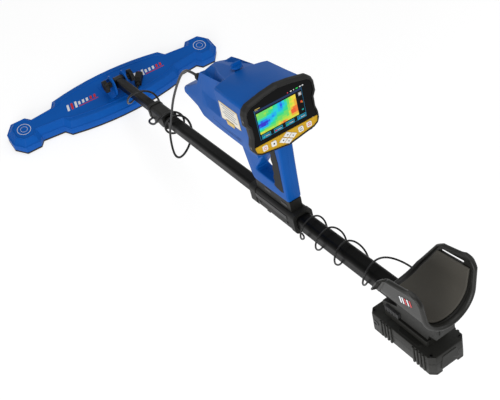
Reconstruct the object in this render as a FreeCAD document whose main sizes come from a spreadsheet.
import FreeCAD, Part
import math
import os
import Sketcher

V = FreeCAD.Vector
X_AXIS = V(1, 0, 0)
Y_AXIS = V(0, 1, 0)
Z_AXIS = V(0, 0, 1)

doc = FreeCAD.newDocument("metal_detector")

# --- driving dimensions ---------------------------------------------------------------------------
# Everything on the rod is laid out in the rod frame: Y forward along the rod, X to the user's right,
# Z square to the rod, with the rod's axis at X = Z = 0 and Y = 0 below the middle of the hand grip.
SIZES = {
    "pitch_angle": 22.08,
    "grip_height": 120.0,
    "tube_wall": 1.5,
    "lower_width": 25.0,
    "middle_width": 28.6,
    "rear_width": 32.2,
    "lower_front": 848.0,
    "lower_back": 500.0,
    "middle_front": 600.0,
    "middle_back": -30.0,
    "rear_front": 60.0,
    "rear_back": -404.0,
    "pivot_place": 864.0,
    "pivot_height": 86.2,
    "coil_forward": 28.8,
    "bolt_radius": 4.0,
    "pin_radius": 1.5,
    "fit_gap": 0.06,
    "coil_plate_thick": 7.0,
    "coil_step_height": 27.0,
    "coil_deck_height": 42.0,
    "coil_bevel": 14.0,
    "coil_wall": 3.0,
    "ear_inside": 15.5,
    "ear_thick": 4.5,
    "knob_radius": 18.0,
    "knob_thick": 12.0,
    "knob_hub_radius": 8.0,
    "knob_hub_length": 11.0,
    "sleeve_front": 627.0,
    "sleeve_back": 542.0,
    "sleeve_width": 37.0,
    "lever_width": 20.0,
    "clamp_front": 132.0,
    "clamp_back": -28.0,
    "clamp_width": 43.0,
    "saddle_width": 27.0,
    "saddle_top": 44.0,
    "handle_width": 32.0,
    "belly_height": 182.0,
    "box_back": -26.0,
    "box_wall": 2.5,
    "screen_place": -37.0,
    "bezel_depth": 14.0,
    "window_width": 132.0,
    "lcd_width": 105.0,
    "lcd_height": 64.0,
    "lcd_middle": 251.5,
    "glass_thick": 1.8,
    "key_row_height": 203.5,
    "board_width": 112.0,
    "board_height": 74.0,
    "board_thick": 1.6,
    "cap_radius": 11.5,
    "cap_place": 95.0,
    "cuff_front": -294.0,
    "cuff_back": -428.0,
    "cuff_half_width": 55.0,
    "cuff_thick": 4.0,
    "cuff_floor": 24.0,
    "cuff_pad_thick": 5.0,
    "strap_slot_length": 45.0,
    "strap_slot_height": 6.5,
    "pack_front": -258.0,
    "pack_back": -414.0,
    "pack_width": 75.0,
    "pack_top": -46.0,
    "pack_split": -62.0,
    "pack_bottom": -84.0,
    "pack_wall": 2.6,
    "cell_radius": 9.15,
    "cell_length": 65.0,
    "socket_radius": 2.9,
    "socket_depth": 12.0,
    "socket_place": -275.0,
    "socket_height": -66.0,
    "coil_cable_width": 5.5,
    "rear_cable_width": 3.6,
}

sheet = doc.addObject("Spreadsheet::Sheet", "sizes")
for row, (name, number) in enumerate(SIZES.items(), start=1):
    sheet.set("A%d" % row, name)
    sheet.set("B%d" % row, "%g" % number)
    sheet.setAlias("B%d" % row, name)
doc.recompute()


def size(name):
    """A driving dimension, read back from the sheet."""
    return float(sheet.get(name))


PITCH = size("pitch_angle")
ROD_TURN = FreeCAD.Rotation(X_AXIS, -PITCH)
ROD_FRAME = FreeCAD.Placement(ROD_TURN.multVec(V(0, 0, -size("grip_height"))), ROD_TURN)
PIVOT = ROD_FRAME.multVec(V(0, size("pivot_place"), 0))
PIVOT_FRAME = FreeCAD.Placement(PIVOT, FreeCAD.Rotation())
COIL_FRAME = FreeCAD.Placement(PIVOT + V(0, size("coil_forward"), -size("pivot_height")), FreeCAD.Rotation())
NODES = []


def keep(thing, label, frame=ROD_FRAME):
    """Names a finished sub-part and puts it in its frame."""
    thing.Label = label
    thing.Placement = frame.multiply(thing.Placement)
    NODES.append(thing)
    return thing


def bind(thing, **cells):
    """Binds properties of an object to expressions on the sheet."""
    for name, text in cells.items():
        thing.setExpression(name.replace("__", "."), text)


def feature(label, shape, frame=ROD_FRAME):
    """A sub-part whose shape is worked out with Part's own functions."""
    thing = doc.addObject("Part::Feature", label)
    thing.Shape = shape
    return keep(thing, label, frame)


# --- sketches and pads ----------------------------------------------------------------------------
def new_body(label):
    body = doc.addObject("PartDesign::Body", label)
    return body


def flat_sketch(body, role, offset=0.0):
    """A sketch on one of the body's own origin planes, moved along its normal by offset."""
    plane = [item for item in body.Origin.OriginFeatures if item.Role == role][0]
    sketch = body.newObject("Sketcher::SketchObject", body.Name + "_sketch")
    sketch.AttachmentSupport = [(plane, "")]
    sketch.MapMode = "FlatFace"
    sketch.AttachmentOffset = FreeCAD.Placement(V(0, 0, offset), FreeCAD.Rotation())
    return sketch


def draw_outline(sketch, points):
    """A closed outline of straight lines, joined end to end."""
    first = sketch.GeometryCount
    count = len(points)
    for index in range(count):
        here = V(points[index][0], points[index][1], 0)
        there = V(points[(index + 1) % count][0], points[(index + 1) % count][1], 0)
        sketch.addGeometry(Part.LineSegment(here, there), False)
    for index in range(count):
        after = first + (index + 1) % count
        sketch.addConstraint(Sketcher.Constraint("Coincident", first + index, 2, after, 1))


def draw_square(sketch, width):
    """A square on the sketch's centre; width is an expression on the sheet."""
    half = 10.0
    draw_outline(sketch, [(-half, -half), (half, -half), (half, half), (-half, half)])
    for line, direction in ((0, "Horizontal"), (1, "Vertical"), (2, "Horizontal"), (3, "Vertical")):
        sketch.addConstraint(Sketcher.Constraint(direction, line))
    sketch.addConstraint(Sketcher.Constraint("Symmetric", 0, 1, 1, 2, -1, 1))
    for kind, line in (("DistanceX", 0), ("DistanceY", 1)):
        number = sketch.addConstraint(Sketcher.Constraint(kind, line, 1, line, 2, 2 * half))
        sketch.setExpression("Constraints[%d]" % number, width)


def draw_circle(sketch, radius, centre=(0.0, 0.0)):
    """A circle whose radius is an expression on the sheet."""
    ring = sketch.addGeometry(Part.Circle(V(centre[0], centre[1], 0), Z_AXIS, 5.0), False)
    number = sketch.addConstraint(Sketcher.Constraint("Radius", ring, 5.0))
    sketch.setExpression("Constraints[%d]" % number, radius)
    sketch.addConstraint(Sketcher.Constraint("DistanceX", -1, 1, ring, 3, centre[0]))
    sketch.addConstraint(Sketcher.Constraint("DistanceY", -1, 1, ring, 3, centre[1]))


def pad(body, sketch, length, both_ways=False, backwards=False):
    """Extrudes a sketch by an expression on the sheet."""
    step = body.newObject("PartDesign::Pad", body.Name + "_pad")
    step.Profile = sketch
    step.setExpression("Length", length)
    step.Midplane = both_ways
    step.Reversed = backwards
    doc.recompute()
    return step


def pocket_through(body, sketch):
    """Cuts a sketch right through the body, both ways."""
    before = body.Shape.Volume
    step = body.newObject("PartDesign::Pocket", body.Name + "_pocket")
    step.Profile = sketch
    step.Type = 1
    step.Midplane = True
    doc.recompute()
    if body.Shape.Volume > before - 0.01:
        raise RuntimeError(body.Name + ": the pocket cut nothing")
    return step


def long_edges(shape, direction):
    """Numbers of the straight edges that run along a direction."""
    found = []
    for number, edge in enumerate(shape.Edges, start=1):
        if edge.Curve.TypeId == "Part::GeomLine":
            if edge.tangentAt(edge.FirstParameter).cross(direction).Length < 1e-3:
                found.append(number)
    return found


def round_edges(body, step, numbers, radius):
    """Fillets numbered edges of a step; radius is an expression or a number."""
    rounding = body.newObject("PartDesign::Fillet", body.Name + "_fillet")
    rounding.Base = (step, ["Edge%d" % number for number in numbers])
    rounding.setExpression("Radius", str(radius))
    doc.recompute()
    return rounding


def corner_edges(shape, reach):
    """Numbers of the edges along the rod that lie at the corners of a square of half width reach."""
    found = []
    for number in long_edges(shape, Y_AXIS):
        middle = shape.Edges[number - 1].CenterOfMass
        if abs(abs(middle.x) - reach) < 0.01 and abs(abs(middle.z) - reach) < 0.01:
            found.append(number)
    return found


def square_tube(label, front, back, width, corner):
    """A square tube with rounded corners, from its back to its front along the rod."""
    body = new_body(label)
    outer = flat_sketch(body, "XZ_Plane", -size(front))
    draw_square(outer, "sizes." + width)
    pad(body, outer, "sizes.%s - sizes.%s" % (front, back))
    inner = flat_sketch(body, "XZ_Plane", -size(front))
    draw_square(inner, "sizes.%s - 2 * sizes.tube_wall" % width)
    step = pocket_through(body, inner)
    half = size(width) / 2
    step = round_edges(body, step, corner_edges(step.Shape, half - size("tube_wall")),
                       "%g - sizes.tube_wall" % corner)
    round_edges(body, step, corner_edges(step.Shape, half), corner)
    return keep(body, label)


# --- plain solids for the pieces that are worked out from formulas ----------------------------------
def block(x, y, z):
    """A box between two values along each axis."""
    return Part.makeBox(x[1] - x[0], y[1] - y[0], z[1] - z[0], V(x[0], y[0], z[0]))


def rod(radius, start, end):
    """A round bar between two points."""
    direction = V(*end) - V(*start)
    return Part.makeCylinder(radius, direction.Length, V(*start), direction)


def slab(points, depth, axis):
    """A straight-sided outline pushed along an axis. Points are full (x, y, z) places."""
    wire = Part.makePolygon([V(*point) for point in points] + [V(*points[0])])
    return Part.Face(wire).extrude(axis * depth)


def soft_square(width, y, corner, centre_z=0.0):
    """A solid square bar along the rod with rounded corners."""
    half = width / 2
    bar = block((-half, half), y, (centre_z - half, centre_z + half))
    return round_along(bar, Y_AXIS, corner)


def round_along(shape, direction, radius):
    """Rounds every edge that runs along a direction."""
    return shape.makeFillet(radius, [shape.Edges[number - 1] for number in long_edges(shape, direction)])


def fuse_all(shapes):
    """One solid out of several that touch."""
    result = shapes[0]
    for shape in shapes[1:]:
        result = result.fuse(shape)
    return result.removeSplitter()


# === search coil ====================================================================================
# Half of the coil's outline: corner points of the end pad, the neck and the body's end.
PAD_NEAR, PAD_FAR, PAD_TIP = 263.9, 306.1, 330.3
PAD_HALF, TIP_HALF = 50.2, 21.3
NECK_OUT, NECK_IN, NECK_OUT_HALF, NECK_IN_HALF = 250.8, 187.5, 34.7, 40.7
BODY_END, BODY_END_HALF, BODY_HALF = 174.3, 60.2, 80.0
END_PAD_CENTRE = (PAD_NEAR + PAD_FAR) / 2


def coil_wire(inset, z):
    """The coil's closed outline at a height, drawn inwards by inset: end pads, necks and bowed sides."""
    half = [(BODY_END, BODY_END_HALF), (NECK_IN, NECK_IN_HALF), (NECK_OUT, NECK_OUT_HALF),
            (PAD_NEAR, PAD_HALF), (PAD_FAR, PAD_HALF), (PAD_TIP, TIP_HALF)]
    right = half + [(x, -y) for x, y in reversed(half)]
    left = [(-x, -y) for x, y in right]
    edges = []
    for side, sign in ((right, 1.0), (left, -1.0)):
        for here, there in zip(side, side[1:]):
            edges.append(Part.makeLine(V(here[0], here[1], z), V(there[0], there[1], z)))
        start, end = side[-1], (-side[-1][0], side[-1][1])
        bow = Part.Arc(V(start[0], start[1], z), V(0, -BODY_HALF * sign, z), V(end[0], end[1], z))
        edges.append(bow.toShape())
    wire = Part.Wire(edges)
    if inset:
        wire = wire.makeOffset2D(-inset, 2)
    return wire


def coil_layer(inset, bottom, top):
    """A flat layer of the coil's outline."""
    return Part.Face(coil_wire(inset, bottom)).extrude(V(0, 0, top - bottom))


def coil_cap(inset, bottom, top, bevel):
    """A layer whose rim slopes inwards by bevel over its height."""
    low = coil_wire(inset, bottom)
    high = coil_wire(inset + bevel, top)
    return Part.makeLoft([low, high], True, True)


def make_coil():
    plate = size("coil_plate_thick")
    step = size("coil_step_height")
    deck = size("coil_deck_height")
    bevel = size("coil_bevel")
    wall = size("coil_wall")
    rim = 1.5
    outer = fuse_all([coil_layer(0, plate, step), coil_cap(rim, step, deck, bevel)])
    inner = fuse_all([coil_layer(wall, plate, step), coil_cap(rim + wall, step, deck - wall, bevel)])
    feature("coil_shell", outer.cut(inner), COIL_FRAME)
    feature("coil_skid_plate", coil_layer(0.6, 0, plate), COIL_FRAME)

    # One long winding round the body and one round winding in each end pad, wound copper in tape.
    winding_low, winding_high = plate + 1.0, plate + 11.0
    long_outer = block((-165, 165), (-52, 52), (winding_low, winding_high))
    long_outer = round_along(long_outer, Z_AXIS, 46)
    long_inner = block((-157, 157), (-44, 44), (winding_low, winding_high))
    long_inner = round_along(long_inner, Z_AXIS, 38)
    solids = [long_outer.cut(long_inner)]
    for sign in (-1, 1):
        low = (sign * END_PAD_CENTRE, 0, winding_low)
        high = (sign * END_PAD_CENTRE, 0, winding_high)
        solids.append(rod(36, low, high).cut(rod(29, low, high)))
    feature("coil_windings", Part.makeCompound(solids), COIL_FRAME)


def ear(sign):
    """One splayed ear of the yoke, in the pivot's frame: upright round the bolt, leaning out below."""
    inside, thick = size("ear_inside") + 1.5, size("ear_thick")
    deck = size("coil_deck_height") - size("pivot_height")
    lean = 14.0
    knee = -26.0
    top = 24.0
    profile = [(inside, top), (inside, knee), (inside + lean, deck), (inside + lean + thick, deck),
               (inside + thick, knee), (inside + thick, top)]
    length = 96.0
    leaning = slab([(sign * x, -48, z) for x, z in profile], length, Y_AXIS)
    outline = [(-13, deck - 1), (44, deck - 1), (30, -20), (20, 13), (8, 23), (-8, 23), (-20, 13), (-26, -8), (-24, -20)]
    side = slab([(-60, y, z) for y, z in outline], 120.0, X_AXIS)
    foot, out, up = V(18.5, 26, deck), V(19.5, 22, 0), V(0, -20, 20 - deck)
    rib_points = [foot, foot + out, foot + out * 0.85 + up * 0.42, foot + up]
    rib = slab([(sign * point.x, point.y, point.z) for point in rib_points], 3.0, V(-sign * 0.8, 0.6, 0))
    bore = rod(size("bolt_radius") + size("fit_gap"), (-70, 0, 0), (70, 0, 0))
    return leaning.common(side).fuse(rib).cut(bore).removeSplitter()


def lobed_knob(sign):
    """A hand knob: a disc with eight grip hollows and a hub, on the bolt's end."""
    ear_face = size("ear_inside") + 1.5 + size("ear_thick")
    start = sign * (ear_face + 0.6)
    middle = start + sign * size("knob_hub_length")
    end = middle + sign * size("knob_thick")
    hub = rod(size("knob_hub_radius"), (start, 0, 0), (middle, 0, 0))
    disc = rod(size("knob_radius"), (middle, 0, 0), (end, 0, 0))
    lobes = 8
    for number in range(lobes):
        angle = 2 * math.pi * number / lobes
        place = (size("knob_radius") + 1.5)
        y, z = place * math.cos(angle), place * math.sin(angle)
        disc = disc.cut(rod(4.0, (middle, y, z), (end, y, z)))
    bore_end = end - sign * 4.0
    bore = rod(size("bolt_radius") + size("fit_gap"), (start - sign, 0, 0), (bore_end, 0, 0))
    return hub.fuse(disc).cut(bore).removeSplitter()


OUTLET_NOSE_START, OUTLET_NOSE_END = V(0, -12, 12), V(0, -28, 9)
OUTLET_TURN = FreeCAD.Rotation(Z_AXIS, -38)
OUTLET_PLACE = V(66, 7, size("coil_deck_height") - size("pivot_height"))


def make_yoke():
    # Ears moulded on one thin base that is bonded into the deck.
    deck = size("coil_deck_height") - size("pivot_height")
    left, right = ear(-1), ear(1)
    base = block((-44, 44), (-20, 54), (deck, deck + 2.0))
    feature("coil_yoke", fuse_all([left, right, base]), PIVOT_FRAME)
    reach = size("ear_inside") + 1.5 + size("ear_thick") + size("knob_hub_length") + size("knob_thick") - 5.0
    bolt = doc.addObject("Part::Cylinder", "pivot_bolt")
    bind(bolt, Radius="sizes.bolt_radius")
    bolt.Height = 2 * reach
    bolt.Placement = FreeCAD.Placement(V(-reach, 0, 0), FreeCAD.Rotation(Y_AXIS, 90))
    keep(bolt, "pivot_bolt", PIVOT_FRAME)
    feature("yoke_knob_left", lobed_knob(-1), PIVOT_FRAME)
    feature("yoke_knob_right", lobed_knob(1), PIVOT_FRAME)
    rings = []
    for sign in (-1, 1):
        inner_face = sign * (size("ear_inside") + 1.5)
        outer_face = sign * 13.2
        ring = rod(11.0, (outer_face, 0, 0), (inner_face, 0, 0))
        rings.append(ring.cut(rod(size("bolt_radius") + size("fit_gap"), (-30, 0, 0), (30, 0, 0))))
    feature("yoke_washers", Part.makeCompound(rings), PIVOT_FRAME)

    # Angled cable outlet, bolted on the deck to the right of the rod.
    wedge = slab([(-9, -20, 0), (-9, 20, 0), (-9, 16, 20), (-9, -14, 27), (-9, -20, 20)], 18.0, X_AXIS)
    nose = rod(6.0, tuple(OUTLET_NOSE_START), tuple(OUTLET_NOSE_END))
    outlet = wedge.fuse(nose)
    outlet.Placement = FreeCAD.Placement(OUTLET_PLACE, OUTLET_TURN)
    feature("coil_cable_outlet", outlet.removeSplitter(), PIVOT_FRAME)


# === telescopic rod =================================================================================
def make_rod():
    square_tube("lower_rod", "lower_front", "lower_back", "lower_width", 5.5)
    square_tube("middle_tube", "middle_front", "middle_back", "middle_width", 7.2)
    square_tube("rear_tube", "rear_front", "rear_back", "rear_width", 8.9)

    # Moulded rod end: a block round the pivot bolt and a plug glued into the lower tube.
    pivot = size("pivot_place")
    half = 13.0
    head = block((-half, half), (size("lower_front"), pivot + 1), (-half, half))
    nose = rod(half, (-half, pivot + 1, 0), (half, pivot + 1, 0))
    plug_half = size("lower_width") / 2 - size("tube_wall")
    plug = soft_square(2 * plug_half, (size("lower_front") - 40, size("lower_front")), 4.0)
    tip = fuse_all([head, nose, plug]).cut(rod(size("bolt_radius") + size("fit_gap"), (-30, pivot, 0), (30, pivot, 0)))
    feature("rod_end", tip)

    # Nylon stop bush on the back end of the lower rod, running inside the middle tube.
    inner = size("middle_width") - 2 * size("tube_wall") - 0.16
    back = size("lower_back")
    bush = soft_square(inner, (back - 12, back), 5.6)
    bush = bush.fuse(soft_square(2 * plug_half, (back, back + 14), 4.0))
    bush = bush.cut(rod(7.0, (0, back - 13, 0), (0, back + 15, 0)))
    feature("slide_bush", bush.removeSplitter())


def cam_lever(label, hinge, reach, drop, root_height):
    """A wedge lever under a sleeve: hinge at its front, finger tip at its back end."""
    y, z = hinge
    outline = [(y + 4, z - 4), (y + 4, z + 1.2), (y + 1.2, z + 4), (y - 6, root_height - 0.4), (y - reach, root_height - 0.4),
               (y - reach - 2, root_height - drop * 0.55), (y - reach + 8, root_height - drop)]
    body = new_body(label)
    sketch = flat_sketch(body, "YZ_Plane")
    draw_outline(sketch, outline)
    pad(body, sketch, "sizes.lever_width", both_ways=True)
    hole = flat_sketch(body, "YZ_Plane")
    draw_circle(hole, "sizes.pin_radius + sizes.fit_gap", (y, z))
    pocket_through(body, hole)
    return keep(body, label)


def lever_pin(label, hinge, reach):
    pin = doc.addObject("Part::Cylinder", label)
    bind(pin, Radius="sizes.pin_radius")
    pin.Height = 2 * reach
    pin.Placement = FreeCAD.Placement(V(-reach, hinge[0], hinge[1]), FreeCAD.Rotation(Y_AXIS, 90))
    return keep(pin, label)


def hinge_lugs(hinge, reach, root_height):
    """Two lugs that hold a lever's pin, one each side of the lever."""
    y, z = hinge
    gap = size("lever_width") / 2 + 0.4
    lugs = []
    for sign in (-1, 1):
        lug = block(sorted((sign * gap, sign * (reach))), (y - 4.5, y + 6.5), (z - 4.5, root_height + 3))
        lugs.append(lug.cut(rod(size("pin_radius"), (-reach - 1, y, z), (reach + 1, y, z))))
    return lugs


SLEEVE_HINGE = (612.0, -23.6)
CLAMP_HINGE = (84.0, -26.4)
LUG_REACH = 14.5


def make_lock():
    front, back = size("sleeve_front"), size("sleeve_back")
    width = size("sleeve_width")
    shoulder = size("middle_front")
    body = soft_square(width, (back, front), 9.0)
    collar = soft_square(width + 3, (back, back + 14), 10.0)
    collar_front = soft_square(width + 3, (front - 12, front), 10.0)
    bore_low = soft_square(size("lower_width") + 0.6, (shoulder - 1, front + 1), 5.8)
    bore_mid = soft_square(size("middle_width"), (back - 1, shoulder), 7.2)
    sleeve = fuse_all([body, collar, collar_front] + hinge_lugs(SLEEVE_HINGE, LUG_REACH, -width / 2))
    sleeve = sleeve.cut(bore_low).cut(bore_mid)
    sleeve = sleeve.cut(block((-10.4, 10.4), (SLEEVE_HINGE[0] - 48, SLEEVE_HINGE[0] + 8), (-60, -width / 2)))
    feature("lock_sleeve", sleeve.removeSplitter())
    cam_lever("lock_lever", SLEEVE_HINGE, 36.0, 15.0, -width / 2)
    lever_pin("lock_lever_pin", SLEEVE_HINGE, LUG_REACH)


def make_clamp():
    front, back = size("clamp_front"), size("clamp_back")
    width = size("clamp_width")
    half = width / 2
    saddle = size("saddle_width") / 2
    top = size("saddle_top")
    lower_half = soft_square(width, (back, front), 9.0, 0.0)
    riser = block((-saddle, saddle), (-12, 110), (half - 4, top))
    front_collar = soft_square(width + 2.4, (front - 22, front), 10.0)
    back_collar = soft_square(width + 2.4, (back, back + 12), 10.0)
    body = fuse_all([lower_half, riser, front_collar, back_collar] + hinge_lugs(CLAMP_HINGE, LUG_REACH, -half))
    body = body.cut(soft_square(size("rear_width"), (back - 1, size("rear_front")), 8.9))
    body = body.cut(soft_square(size("middle_width") + 0.6, (size("rear_front") - 1, front + 1), 7.5))
    strip = block((0, 2), (back + 26, front - 12), (2, 11))
    solids = []
    for sign in (-1, 1):
        inlay = strip.copy()
        inlay.translate(V(sign * (half + 0.6) - 1.0 - sign * 0.6, 0, 0))
        body = body.cut(inlay)
        solids.append(inlay)
    body = body.cut(block((-10.4, 10.4), (CLAMP_HINGE[0] - 48, CLAMP_HINGE[0] + 8), (-60, -half)))
    feature("rod_clamp", body.removeSplitter())
    feature("clamp_strips", Part.makeCompound(solids))
    cam_lever("clamp_lever", CLAMP_HINGE, 36.0, 15.0, -half)
    lever_pin("clamp_lever_pin", CLAMP_HINGE, LUG_REACH)
    screws = []
    for y in (0.0, 98.0):
        for sign in (-1, 1):
            screws.append(rod(2.6, (sign * half, y, -7), (sign * (half + 1.6), y, -7)))
    feature("clamp_screws", Part.makeCompound(screws))


# === hand grip ======================================================================================
HANDLE_OUTER = [(-12, 44), (110, 44), (116, 56), (131, 123), (146, 182), (-24, 182), (-18, 120)]
FINGER_HOLE = [(92, 77), (24, 73), (16, 112), (13, 160), (28, 166), (41, 136)]


def make_handle():
    half = size("handle_width") / 2
    wall = 3.0
    outer = slab([(-half, y, z) for y, z in HANDLE_OUTER], 2 * half, X_AXIS)
    hole = slab([(-half - 1, y, z) for y, z in FINGER_HOLE], 2 * half + 2, X_AXIS)
    loop = outer.cut(hole)
    vertical = [edge for edge in loop.Edges if abs(abs(edge.CenterOfMass.x) - half) < 0.01]
    loop = loop.makeFillet(4.0, vertical)
    # The grip and the strut are hollow: the loom passes down the grip into the clamp.
    hollow_grip = slab([(-half + wall, y, z) for y, z in [(-8, 60), (14, 60), (4, 176), (-15, 176)]],
                       2 * (half - wall), X_AXIS)
    hollow_strut = slab([(-half + wall, y, z) for y, z in [(101, 66), (110, 62), (126, 120), (138, 176), (60, 176)]],
                        2 * (half - wall), X_AXIS)
    loop = loop.cut(hollow_grip).cut(hollow_strut)
    pocket_outline = [(17, 78), (6, 68), (-4, 66), (-8, 137), (-6, 168), (10, 168), (8, 150), (12, 138), (10, 124), (15, 110),
                      (13, 96), (18, 84)]
    screws = []
    for y, z in ((100.0, 58.0), (0.0, 56.0), (118.0, 150.0)):
        screws.append(rod(2.2, (half - 1.0, y, z), (half + 0.6, y, z)))
    screws = Part.makeCompound(screws)
    loop = loop.cut(screws)
    feature("handle_screws", screws)
    for name, sign in (("left", -1), ("right", 1)):
        side = loop.common(block(sorted((0.0, sign * 60.0)), (-80, 200), (0, 260)))
        insert = slab([(sign * (half - 1.6), y, z) for y, z in pocket_outline], 2.4, V(sign, 0, 0))
        side = side.cut(insert)
        feature("handle_%s" % name, side.removeSplitter())
        feature("grip_insert_%s" % name, insert)


# === control box ====================================================================================
def box_section(y, half, grow=0.0):
    """One closed cross-section of the control box from its right-hand half, bottom to crown."""
    right = [(x + grow * 0.9, z + (grow if z > 215 else -grow)) for x, z in half[:-1]]
    crown = (0.0, half[-1][1] + grow)
    left = [(-x, z) for x, z in reversed(right)]
    points = [V(x, y, z) for x, z in right + [crown] + left]
    return Part.makePolygon(points + [points[0]])


# Stations from the screen end forwards: (place along the rod, right-hand half of the section).
BELLY = size("belly_height")
BOX_STATIONS = [
    (size("box_back"), [(60.4, BELLY), (65.6, 232), (68, 284), (60.6, 292.5), (0, 303.7)]),
    (86, [(57, BELLY), (60, 232), (60.5, 284), (56, 290.5), (0, 297)]),
    (92, [(56.5, BELLY), (59.5, 230), (47, 262), (39, 286.5), (0, 296)]),
    (185, [(53, BELLY + 2), (47, 222), (40, 246), (37, 275.5), (0, 279.5)]),
    (216, [(48, BELLY + 12), (45, 218), (40, 232), (34, 241), (0, 244)]),
    (278, [(41, 198), (42, 205), (42, 210), (35, 213.5), (0, 214)]),
]
CAP_HEIGHT = 297.0
GLAND = (-31.0, 200.0, 254.0)
GLAND_TAIL = 21.0


def make_box():
    wall = size("box_wall")
    outer = Part.makeLoft([box_section(y, half) for y, half in BOX_STATIONS], True, True)
    inside = []
    for y, half in BOX_STATIONS[:-1]:
        inside.append(box_section(y - (0.5 if y < 0 else 3.0), half, -wall))
    inner = Part.makeLoft(inside, True, True)
    shell = outer.cut(inner)
    cap_seat = rod(size("cap_radius") + 3, (0, size("cap_place"), CAP_HEIGHT - 6), (0, size("cap_place"), CAP_HEIGHT + 2))
    cap_bore = rod(6.0, (0, size("cap_place"), CAP_HEIGHT - 12), (0, size("cap_place"), CAP_HEIGHT + 3))
    shell = shell.fuse(cap_seat).cut(cap_bore)
    gland_hole = rod(5.0, (GLAND[0], GLAND[1] - 25, GLAND[2]), (GLAND[0], GLAND[1] + 20, GLAND[2]))
    shell = shell.cut(gland_hole)
    feature("control_box", shell.removeSplitter())
    cap = rod(size("cap_radius"), (0, size("cap_place"), CAP_HEIGHT + 2.3), (0, size("cap_place"), CAP_HEIGHT + 6))
    stem = rod(6.0 - size("fit_gap"), (0, size("cap_place"), CAP_HEIGHT - 8), (0, size("cap_place"), CAP_HEIGHT + 4))
    bar = block((-9, 9), (size("cap_place") - 2, size("cap_place") + 2), (CAP_HEIGHT + 5, CAP_HEIGHT + 12))
    feature("socket_cap", fuse_all([cap, stem, bar]))
    nut = rod(7.5, (GLAND[0], GLAND[1] + 3, GLAND[2]), (GLAND[0], GLAND[1] + 11, GLAND[2]))
    neck = rod(5.0, (GLAND[0], GLAND[1] - 12, GLAND[2]), (GLAND[0], GLAND[1] + 4, GLAND[2]))
    tail = Part.makeCone(5.5, 3.6, 10, V(GLAND[0], GLAND[1] + GLAND_TAIL - 10, GLAND[2]), Y_AXIS)
    gland = fuse_all([nut, neck, tail])
    gland = gland.cut(outer.common(rod(9.0, (GLAND[0], GLAND[1] - 14, GLAND[2]), (GLAND[0], GLAND[1] + 20, GLAND[2])))
                      .cut(gland_hole))
    feature("box_gland", gland.removeSplitter())


BEZEL_OUTLINE = [(0, 183), (57, 192), (66, 197), (72, 207), (72, 222), (68, 234), (69.5, 255), (75, 262), (73, 283),
                 (63, 297), (28, 304)]


def mirrored(points, crown):
    """A closed outline from its right half, with a crown point on the centre line."""
    return points + [crown] + [(-x, z) for x, z in reversed(points[1:])]


KEYS = [
    ("key_power", -48.5, 0.8, "square"),
    ("key_dot", -30.0, 0.2, "square"),
    ("key_left", -10.6, -3.2, "diamond"),
    ("key_up", 0.0, 3.4, "diamond"),
    ("key_down", 0.0, -9.8, "diamond"),
    ("key_right", 10.6, -3.2, "diamond"),
    ("key_loop", 29.0, 0.2, "square"),
    ("key_cancel", 47.5, 0.8, "square"),
]
KEY_HALF = 5.2
DIAMOND_WIDE, DIAMOND_HIGH = 8.6, 5.6


def key_points(kind, x, z, grow=0.0):
    """Corners of a key's face: a rounded square's corners or a diamond's."""
    if kind == "square":
        half = KEY_HALF + grow
        cut = 1.4
        return [(x - half + cut, z - half), (x + half - cut, z - half), (x + half, z - half + cut),
                (x + half, z + half - cut), (x + half - cut, z + half), (x - half + cut, z + half),
                (x - half, z + half - cut), (x - half, z - half + cut)]
    wide, high = DIAMOND_WIDE + grow * 1.4, DIAMOND_HIGH + grow * 1.2
    return [(x - wide, z), (x, z - high), (x + wide, z), (x, z + high)]


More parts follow.
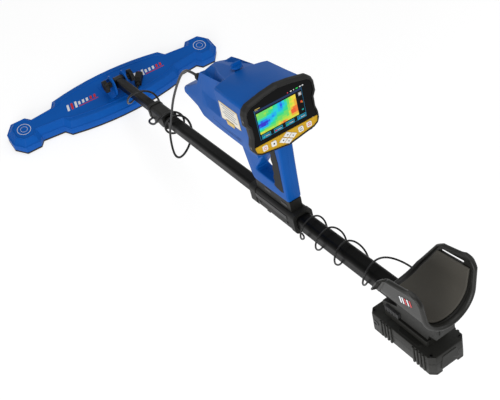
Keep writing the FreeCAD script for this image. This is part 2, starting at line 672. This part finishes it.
def make_display():
    place = size("screen_place")
    back_face = place - 3.0
    front_face = back_face + size("bezel_depth")
    outline = mirrored(BEZEL_OUTLINE, (0, 308))
    bezel = slab([(x, back_face, z) for x, z in outline], front_face - back_face, Y_AXIS)
    window = size("window_width") / 2
    glass_outline = [(-window, 214), (window, 214), (window + 2, 224), (window - 3, 236), (window - 2, 256),
                     (window + 2, 266), (window, 281), (window - 6, 290), (0, 299), (-window + 6, 290), (-window, 281),
                     (-window - 2, 266), (-window + 2, 256), (-window + 3, 236), (-window - 2, 224)]
    opening = slab([(x, back_face - 1, z) for x, z in glass_outline], front_face - back_face + 2, Y_AXIS)
    key_opening_points = [(-window - 2, 212.6), (-window, 202), (-57, 197), (0, 188), (57, 197), (window, 202),
                          (window + 2, 212.6)]
    key_opening = slab([(x, back_face - 1, z) for x, z in key_opening_points], front_face - back_face + 2, Y_AXIS)
    skirt_cut = Part.makeLoft([box_section(y, half, 0.0) for y, half in BOX_STATIONS[:2]], True, True)
    screws = []
    screw_place = back_face + size("bezel_depth") / 2
    for sign in (-1, 1):
        screws.append(rod(2.4, (sign * 71.0, screw_place, 214), (sign * 72.6, screw_place, 214)))
        screws.append(rod(2.4, (sign * 73.0, screw_place, 270), (sign * 75.2, screw_place, 270)))
    screws = Part.makeCompound(screws)
    bezel = bezel.cut(opening).cut(key_opening).cut(skirt_cut).cut(screws)
    feature("screen_bezel", bezel.removeSplitter())
    feature("bezel_screws", screws)

    # Black cover glass over the whole display field, then the display module behind it.
    glass = slab([(x, place, z) for x, z in glass_outline], size("glass_thick"), Y_AXIS)
    feature("screen_glass", glass)
    module = doc.addObject("Part::Box", "display_module")
    bind(module, Length="sizes.lcd_width", Height="sizes.lcd_height")
    module.Width = 5.0
    module.Placement = FreeCAD.Placement(V(-size("lcd_width") / 2, place + size("glass_thick"),
                                           size("lcd_middle") - size("lcd_height") / 2), FreeCAD.Rotation())
    keep(module, "display_module")

    plate = slab([(x, place - 1.0, z) for x, z in key_opening_points], 2.0, Y_AXIS)
    mat_outline = [(-56, 211), (-56, 198.5), (0, 190.5), (56, 198.5), (56, 211)]
    mat = slab([(x, place + 2.6, z) for x, z in mat_outline], 1.6, Y_AXIS)
    for name, x, rise, kind in KEYS:
        z = size("key_row_height") + rise
        hole = slab([(px, place - 3, pz) for px, pz in key_points(kind, x, z, 0.35)], 8.0, Y_AXIS)
        plate = plate.cut(hole)
        stem = block((x - 1.6, x + 1.6), (place + 0.5, place + 1.2), (z - 1.6, z + 1.6))
        key = slab([(px, place - 2.2, pz) for px, pz in key_points(kind, x, z)], 3.0, Y_AXIS).fuse(stem)
        feature(name, key.removeSplitter())
    feature("keypad_plate", plate)
    feature("keypad_mat", mat)

    half_board = size("board_width") / 2
    middle = size("lcd_middle") - 8
    board = block((-half_board, half_board), (place + 26, place + 26 + size("board_thick")),
                  (middle - size("board_height") / 2, middle + size("board_height") / 2))
    parts = [board]
    for x, z, wide, high, thick in ((-30, 250, 24, 24, 4), (10, 256, 16, 16, 3), (36, 232, 20, 12, 8)):
        parts.append(block((x - wide / 2, x + wide / 2), (place + 27.6, place + 27.6 + thick), (z - high / 2, z + high / 2)))
    feature("main_board", fuse_all(parts))


# === arm cuff and its base ===========================================================================
def cuff_shell(inner_grow, outer_grow, front, back):
    """Trough between two U-shaped sections: a round floor running into nearly upright wings."""
    half = size("cuff_half_width")
    floor = size("cuff_floor")
    radius = 48.0
    centre_z = floor + radius
    wing_top = 130.0

    def section(grow):
        reach = radius + grow
        wing = half + grow
        start = V(-reach * math.cos(math.radians(8)), front, centre_z - reach * math.sin(math.radians(8)))
        end = V(-start.x, front, start.z)
        low = V(0, front, centre_z - reach)
        arc = Part.Arc(start, low, end).toShape()
        right = Part.makeLine(end, V(wing, front, wing_top))
        top = Part.makeLine(V(wing, front, wing_top), V(-wing, front, wing_top))
        left = Part.makeLine(V(-wing, front, wing_top), start)
        return Part.Face(Part.Wire([arc, right, top, left])).extrude(V(0, back - front, 0))

    return section(outer_grow).cut(section(inner_grow))


CUFF_SIDE = [(-294, 10), (-292, 24), (-304, 46), (-340, 98), (-352, 107), (-408, 119), (-421, 114), (-427, 102),
             (-428, 10)]
PAD_SIDE = [(-300, 10), (-299, 24), (-310, 44), (-344, 82), (-416, 96), (-420, 88), (-421, 10)]


def make_cuff():
    front, back = size("cuff_front") + 4, size("cuff_back") - 2
    shell = cuff_shell(0.0, size("cuff_thick"), front, back)
    shell = shell.common(slab([(-80, y, z) for y, z in CUFF_SIDE], 160.0, X_AXIS))
    slot_long, slot_high = size("strap_slot_length"), size("strap_slot_height")
    slot = slab([(0, -354, 91), (0, -354 - slot_long, 99), (0, -354 - slot_long, 99 + slot_high),
                 (0, -354, 91 + slot_high)], 80.0, X_AXIS)
    shell = shell.cut(slot)
    feature("arm_cuff", shell)
    pad_solid = cuff_shell(-size("cuff_pad_thick"), -0.3, front, back)
    pad_solid = pad_solid.common(slab([(-80, y, z) for y, z in PAD_SIDE], 160.0, X_AXIS))
    feature("cuff_pad", pad_solid)

    # Base: a saddle clamped round the rear tube, with a T-shaped foot that the battery case slides on.
    width = 40.0
    half = width / 2
    tower_back, rail_back = -409.0, -388.0
    tower = block((-half, half), (tower_back, -318), (-15, 20))
    cradle = slab([(-half, -280, -30), (-half, -280, -18), (-half, -318, -6), (-half, tower_back, -6),
                   (-half, tower_back, -15), (-half, rail_back - 4, -18), (-half, rail_back, -30)], width, X_AXIS)
    neck = block((-12.6, 12.6), (rail_back, -284), (-38, -30))
    foot = block((-16.6, 16.6), (rail_back, -284), (-45.6, -38))
    ears = []
    for sign in (-1, 1):
        wing = slab([(sign * 12, tower_back, 12), (sign * 30, tower_back, 30), (sign * 30, tower_back, 52),
                     (sign * 12, tower_back, 40)], 85.0, Y_AXIS)
        ears.append(wing)
    base = fuse_all([tower, cradle, neck, foot] + ears)
    base = base.cut(cuff_shell(0.0, size("cuff_thick"), front, back - 6))
    hollow = cuff_shell(-60.0, 0.0, front, back - 6)
    base = base.cut(hollow.fuse(block((-40, 40), (-430, -290), (size("cuff_floor") + 4, 140))))
    base = base.cut(soft_square(size("rear_width"), (size("rear_back"), -200), 8.9))
    base = base.cut(block((-half - 1, -15.6), (-324, -288), (-31, -19)))
    solids = sorted(base.Solids, key=lambda solid: -solid.Volume)
    feature("cuff_base", solids[0])
    latch = block((-24.6, -18.8), (-322.6, -289.4), (-29.6, -20.4))
    for number in range(4):
        y = -317.0 + number * 7.4
        latch = latch.cut(block((-25.2, -23.8), (y, y + 2.4), (-30, -20)))
    feature("battery_latch", latch)


# === battery pack ====================================================================================
def make_battery():
    front, back = size("pack_front"), size("pack_back")
    half = size("pack_width") / 2
    top, split, bottom = size("pack_top"), size("pack_split"), size("pack_bottom")
    wall = size("pack_wall")
    corner = 7.0

    def plan(grow, z_low, z_high):
        x, y0, y1 = half - grow, back + grow, front - grow
        cut = corner - grow * 0.6
        points = [(-x + cut, y0), (x - cut, y0), (x, y0 + cut), (x, y1 - cut), (x - cut, y1), (-x + cut, y1),
                  (-x, y1 - cut), (-x, y0 + cut)]
        return slab([(px, py, z_low) for px, py in points], z_high - z_low, Z_AXIS)

    lid = plan(0, split, top).cut(plan(wall, split, top - wall))
    # Two L-shaped rails on the lid take the base's T foot.
    for sign in (-1, 1):
        upright = block(sorted((sign * 17.2, sign * 22.5)), (back + 26, front - 28), (top, top + 8.4))
        lip = block(sorted((sign * 13.4, sign * 22.5)), (back + 26, front - 28), (top + 8.4, top + 11.4))
        lid = lid.fuse(upright).fuse(lip)
    for sign in (-1, 1):
        pocket = block(sorted((sign * 24.5, sign * 32.5)), (-388, -320), (top - 1.2, top))
        lid = lid.cut(pocket)
    socket_y, socket_z = size("socket_place"), size("socket_height")
    socket_seat = rod(6.0, (-half + 8, socket_y, socket_z), (-half - 1, socket_y, socket_z))
    feature("battery_lid", lid.cut(socket_seat).removeSplitter())

    tub = plan(0, bottom, split).cut(plan(wall, bottom + wall, split))
    feet = []
    for x in (-1, 1):
        for y in (back + 22, front - 22):
            feet.append(block(sorted((x * (half - 1), x * (half - 17))), (y - 15, y + 15), (bottom - 4, bottom)))
    ribs = []
    for sign in (-1, 1):
        for middle in (front - 44, back + 32):
            for number in range(4):
                y = middle - 12 + number * 7.0
                ribs.append(block(sorted((sign * half, sign * (half + 1.6))), (y, y + 3.6), (bottom + 5, split)))
    tub = fuse_all([tub] + feet + ribs)
    feature("battery_tub", tub.cut(socket_seat).removeSplitter())
    jack = rod(6.0, (-half + 0.2 + size("socket_depth"), socket_y, socket_z), (-half - 0.4, socket_y, socket_z))
    jack = jack.cut(rod(size("socket_radius"), (-half + size("socket_depth") - 2, socket_y, socket_z),
                        (-half - 1, socket_y, socket_z)))
    jack = jack.common(block((-half - 1, -half + 14), (socket_y - 8, socket_y + 8), (socket_z - 8, socket_z + 8)))
    feature("charge_socket", jack)

    cells = []
    radius, length = size("cell_radius"), size("cell_length")
    for column in (-1, 0, 1):
        for y in (back + wall + 3, back + wall + 3 + length + 2):
            x = column * (2 * radius + 0.6) + 3.0
            cells.append(rod(radius, (x, y, split - 5.5), (x, y + length, split - 5.5)))
    feature("battery_cells", Part.makeCompound(cells))
    screws = []
    for x in (-31.0, 31.0):
        for y in (back + 8.5, front - 8.5):
            screws.append(rod(2.6, (x, y, top), (x, y, top + 1.2)))
    feature("battery_screws", Part.makeCompound(screws))


# === cables ==========================================================================================
def cable(label, points, width, frame=ROD_FRAME):
    """A cable of straight runs joined by tangent arcs, each as large as its two runs allow."""
    corners = [V(*point) for point in points]
    edges = []
    start = corners[0]
    radii = []
    for before, here, after in zip(corners, corners[1:], corners[2:]):
        back, ahead = before - here, after - here
        turn = math.pi - back.getAngle(ahead)
        trim = 0.45 * min(back.Length, ahead.Length)
        radii.append(trim / math.tan(turn / 2))
        back.normalize()
        ahead.normalize()
        first, last = here + back * trim, here + ahead * trim
        bisector = back + ahead
        bisector.normalize()
        depth = radii[-1] * (1 / math.cos(turn / 2) - 1)
        edges.append(Part.makeLine(start, first))
        edges.append(Part.Arc(first, here + bisector * depth, last).toShape())
        start = last
    edges.append(Part.makeLine(start, corners[-1]))
    path = Part.Wire(edges)
    direction = corners[1] - corners[0]
    circle = Part.Wire([Part.makeCircle(width / 2, corners[0], direction)])
    tube = path.makePipeShell([circle], True, False)
    expected = math.pi * (width / 2) ** 2 * path.Length
    print("%s: length %.1f, volume ratio %.4f, smallest radii %s" % (
        label, path.Length, tube.Volume / expected, ["%.0f" % radius for radius in sorted(radii)[:4]]))
    return feature(label, tube, frame)


def make_cables():
    to_rod = ROD_FRAME.inverse()
    outlet_end = to_rod.multVec(PIVOT + OUTLET_PLACE + OUTLET_TURN.multVec(OUTLET_NOSE_END))
    outlet_inner = to_rod.multVec(PIVOT + OUTLET_PLACE + OUTLET_TURN.multVec(OUTLET_NOSE_START))
    outlet_way = outlet_end - outlet_inner
    outlet_way.normalize()
    # From the outlet under the rod and up its left side.
    front = [tuple(outlet_end), tuple(outlet_end + outlet_way * 16.0), (26.0, 833.0, -50.0), (11.0, 811.0, -45.0),
             (-5.0, 789.0, -38.0), (-19.0, 768.0, -28.0), (-28.0, 750.0, -15.0), (-29.5, 742.5, -7.5)]
    cable("coil_cable_front", front, size("coil_cable_width"))
    # One loose turn on the lower rod, then two on the middle tube behind the lock sleeve.
    middle = [(-29.5, 742.5, -7.5), (-31.0, 735.0, 0.0), (-30.0, 722.0, 13.0), (-21.0, 710.0, 23.0), (-5.0, 701.0, 27.0),
              (12.0, 694.0, 24.0), (28.0, 686.0, 13.0), (32.0, 670.0, -4.0), (22.0, 652.0, -20.0), (4.0, 642.0, -26.0),
              (-16.0, 634.0, -24.0), (-30.0, 616.0, -16.0), (-37.0, 592.0, -10.0), (-36.0, 566.0, -4.0),
              (-30.0, 548.0, 12.0), (-14.0, 537.0, 25.0), (6.0, 532.0, 27.0), (24.0, 526.0, 16.0), (29.0, 520.0, -2.0),
              (18.0, 518.0, -20.0), (0.0, 519.0, -27.0), (-18.0, 520.0, -21.0), (-28.0, 519.0, -5.0),
              (-24.0, 516.0, 14.0), (-7.0, 512.0, 25.0), (13.0, 508.0, 23.0), (28.0, 502.0, 9.0),
              (29.0, 488.0, -9.0), (17.0, 472.0, -22.0), (8.0, 462.5, -25.5)]
    cable("coil_cable_middle", middle, size("coil_cable_width"))
    # A hanging loop beside the rod, and the rise to the gland on the control box.
    gland_end = (GLAND[0], GLAND[1] + GLAND_TAIL, GLAND[2])
    rear = [(8.0, 462.5, -25.5), (-1.0, 453.0, -29.0), (-15.0, 443.0, -34.0), (-30.0, 440.0, -42.0),
            (-40.0, 451.0, -51.0), (-42.0, 468.0, -50.0), (-38.0, 481.0, -37.0), (-34.0, 486.0, -18.0),
            (-32.0, 482.0, 2.0), (-31.0, 470.0, 24.0), (-30.0, 449.0, 52.0),
            (-30.5, 427.0, 84.0), (-30.0, 402.0, 120.0), (-30.0, 373.0, 154.0), (-30.0, 342.0, 187.0),
            (-30.5, 311.0, 217.0), (-31.0, 280.0, 242.0), (-31.0, 252.0, 254.0), gland_end]
    cable("coil_cable_rear", rear, size("coil_cable_width"))
    # The battery lead: four loose turns on the rear tube, then out round the right side into the cuff's base.
    lead = [(-10.0, -28.0, -25.5), (-12.0, -40.0, -26.5), (-23.0, -50.0, -20.0), (-31.0, -57.0, -5.0),
            (-28.0, -61.0, 13.0), (-14.0, -60.0, 25.0), (5.0, -57.0, 26.0), (22.0, -55.0, 16.0), (29.0, -61.0, -2.0),
            (20.0, -74.0, -19.0), (1.0, -86.0, -27.0), (-18.0, -97.0, -22.0), (-30.0, -104.0, -5.0),
            (-27.0, -107.0, 14.0), (-12.0, -107.0, 25.0), (8.0, -105.0, 26.0), (24.0, -108.0, 14.0),
            (30.0, -119.0, -2.0), (21.0, -133.0, -19.0), (2.0, -145.0, -27.0), (-17.0, -156.0, -22.0),
            (-30.0, -162.0, -5.0), (-27.0, -163.0, 14.0), (-12.0, -160.0, 25.0), (8.0, -158.0, 26.0),
            (24.0, -164.0, 14.0), (29.0, -182.0, -2.0), (19.0, -202.0, -19.0), (0.0, -218.0, -27.0),
            (-17.0, -230.0, -21.0), (-28.0, -238.0, -5.0), (-25.0, -242.0, 14.0), (-11.0, -241.0, 27.0),
            (9.0, -237.0, 29.0), (30.0, -236.0, 20.0), (48.0, -245.0, 7.0), (60.0, -264.0, -5.0),
            (62.0, -288.0, -14.0), (54.0, -311.0, -20.0), (38.0, -326.0, -22.0), (20.0, -326.0, -22.0)]
    cable("rear_cable", lead, size("rear_cable_width"))


make_coil()
make_yoke()
make_rod()
make_lock()
make_clamp()
make_handle()
make_box()
make_display()
make_cuff()
make_battery()
make_cables()
doc.recompute()

for item in doc.Objects:
    if "Invalid" in item.State or "Error" in item.State:
        raise RuntimeError("%s failed: %s" % (item.Label, item.State))
for item in NODES:
    if item.Shape.isNull() or not item.Shape.isValid():
        raise RuntimeError("%s has no valid shape" % item.Label)
    if not item.Shape.Solids:
        raise RuntimeError("%s holds no solid" % item.Label)

os.makedirs("parts", exist_ok=True)
for item in NODES:
    item.Shape.exportStep(os.path.join("parts", item.Label + ".step"))
print("%d sub-parts written" % len(NODES))
